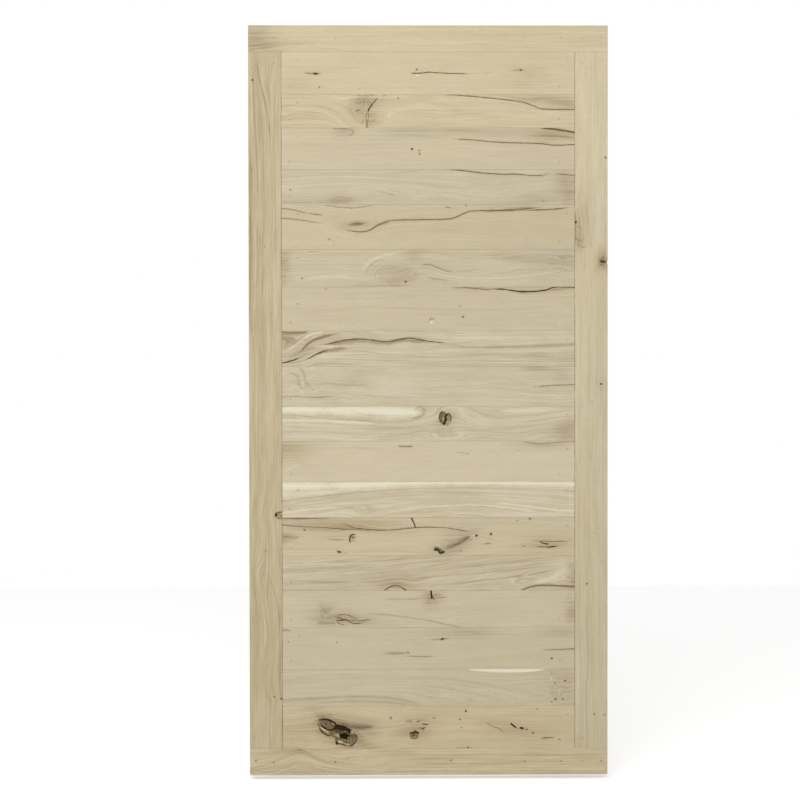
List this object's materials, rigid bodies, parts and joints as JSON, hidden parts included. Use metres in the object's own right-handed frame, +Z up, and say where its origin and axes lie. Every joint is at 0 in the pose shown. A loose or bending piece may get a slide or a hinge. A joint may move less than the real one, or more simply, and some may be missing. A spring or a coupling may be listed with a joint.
{
  "type": "barn door leaf",
  "caption": "Flush plank door leaf: horizontal tongue-and-groove oak boards between two stiles and two full-width rails, to hang from a sliding track.",
  "frame": {"origin": "middle of the top edge, at half the thickness", "axes": "+X across the leaf to the right as seen from the front, +Y from front to back, +Z up"},
  "size_m": [1.005, 0.04, 2.1],
  "materials": {
    "oak_frame": "bare character oak, matt",
    "oak_boards": "bare character oak, matt"
  },
  "bodies": {
    "root": {"top_rail": "oak_frame", "bottom_rail": "oak_frame", "left_stile": "oak_frame", "right_stile": "oak_frame", "board_01": "oak_boards", "board_02": "oak_boards", "board_03": "oak_boards", "board_04": "oak_boards", "board_05": "oak_boards", "board_06": "oak_boards", "board_07": "oak_boards", "board_08": "oak_boards", "board_09": "oak_boards", "board_10": "oak_boards", "board_11": "oak_boards", "board_12": "oak_boards", "board_13": "oak_boards", "board_14": "oak_boards", "board_15": "oak_boards", "board_16": "oak_boards", "board_17": "oak_boards", "board_18": "oak_boards"}
  },
  "joints": []
}
